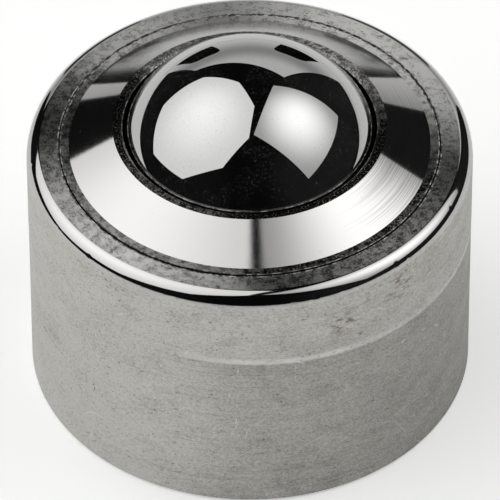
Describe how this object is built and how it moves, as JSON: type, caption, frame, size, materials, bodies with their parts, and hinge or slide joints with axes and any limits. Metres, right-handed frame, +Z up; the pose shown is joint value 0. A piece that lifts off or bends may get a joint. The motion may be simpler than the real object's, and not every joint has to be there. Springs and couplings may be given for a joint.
{
  "type": "ball transfer unit",
  "caption": "Ball transfer unit: chrome-steel load ball held by a conical cap ring in a machined round steel housing that drops into a bored seat.",
  "frame": {"origin": "centre of the housing's flat seat face, at the bottom", "axes": "+Z up along the axis of the housing, towards the load ball"},
  "size_m": [0.055, 0.055, 0.0474],
  "materials": {
    "housing_steel": "satin, turned and lightly scuffed",
    "cap_steel": "mirror-turned cone, ground lands",
    "race_steel": "ground and hardened",
    "ball_steel": "polished",
    "support_ball_steel": "polished",
    "felt": "oiled felt"
  },
  "bodies": {
    "housing": {"housing": "housing_steel", "race_cup": "race_steel", "cap_ring": "cap_steel", "felt_seal": "felt"},
    "support_balls": {"support_ball_0_1": "support_ball_steel", "support_ball_1_1": "support_ball_steel", "support_ball_1_2": "support_ball_steel", "support_ball_1_3": "support_ball_steel", "support_ball_1_4": "support_ball_steel", "support_ball_1_5": "support_ball_steel", "support_ball_1_6": "support_ball_steel", "support_ball_2_1": "support_ball_steel", "support_ball_2_2": "support_ball_steel", "support_ball_2_3": "support_ball_steel", "support_ball_2_4": "support_ball_steel", "support_ball_2_5": "support_ball_steel", "support_ball_2_6": "support_ball_steel", "support_ball_2_7": "support_ball_steel", "support_ball_2_8": "support_ball_steel", "support_ball_2_9": "support_ball_steel", "support_ball_2_10": "support_ball_steel", "support_ball_2_11": "support_ball_steel", "support_ball_2_12": "support_ball_steel", "support_ball_3_1": "support_ball_steel", "support_ball_3_2": "support_ball_steel", "support_ball_3_3": "support_ball_steel", "support_ball_3_4": "support_ball_steel", "support_ball_3_5": "support_ball_steel", "support_ball_3_6": "support_ball_steel", "support_ball_3_7": "support_ball_steel", "support_ball_3_8": "support_ball_steel", "support_ball_3_9": "support_ball_steel", "support_ball_3_10": "support_ball_steel", "support_ball_3_11": "support_ball_steel", "support_ball_3_12": "support_ball_steel", "support_ball_3_13": "support_ball_steel", "support_ball_3_14": "support_ball_steel", "support_ball_3_15": "support_ball_steel", "support_ball_3_16": "support_ball_steel", "support_ball_3_17": "support_ball_steel", "support_ball_row_4": "support_ball_steel", "support_ball_row_5": "support_ball_steel"},
    "load_ball": {"load_ball": "ball_steel"}
  },
  "joints": [
    {"name": "ball_swivel", "type": "hinge", "parent": "housing", "child": "support_balls", "pos_m": [0, 0, 0.03035], "axis": [0, 0, 1], "continuous": true},
    {"name": "ball_roll", "type": "hinge", "parent": "support_balls", "child": "load_ball", "pos_m": [0, 0, 0.03035], "axis": [1, 0, 0], "continuous": true}
  ]
}
